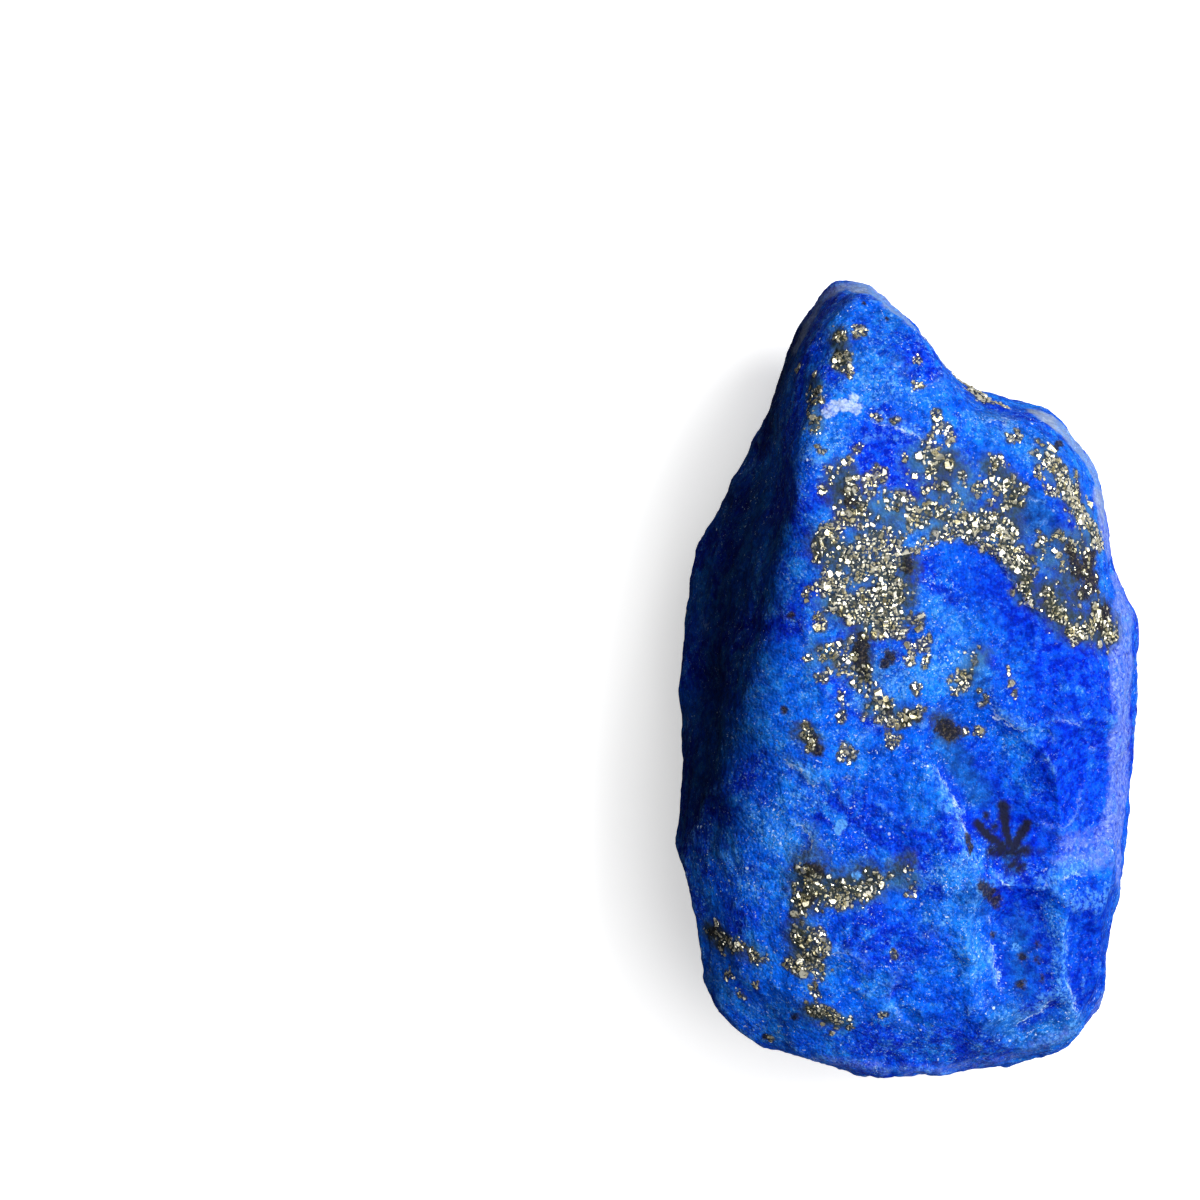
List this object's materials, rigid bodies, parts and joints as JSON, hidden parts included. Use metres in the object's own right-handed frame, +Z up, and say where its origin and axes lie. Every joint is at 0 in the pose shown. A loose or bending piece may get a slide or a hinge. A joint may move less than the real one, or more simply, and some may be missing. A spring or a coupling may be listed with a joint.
{
  "type": "rough lapis lazuli",
  "caption": "Loose rough lapis lazuli stone with a pointed end, a broad fractured top crossed by a band of pyrite, and a flat spot to rest on.",
  "frame": {"origin": "middle of the stone's box, on the surface it rests on", "axes": "+Y along the stone's length towards its pointed end, +X across it towards the steep right edge, +Z up out of the fractured top"},
  "size_m": [0.0274, 0.0469, 0.0196],
  "materials": {
    "lapis": "deep ultramarine stone with a dull sugary grain, paler along its worn edges, sown with small bright crystals of pyrite"
  },
  "bodies": {
    "root": {"lapis_stone": "lapis"}
  },
  "joints": []
}
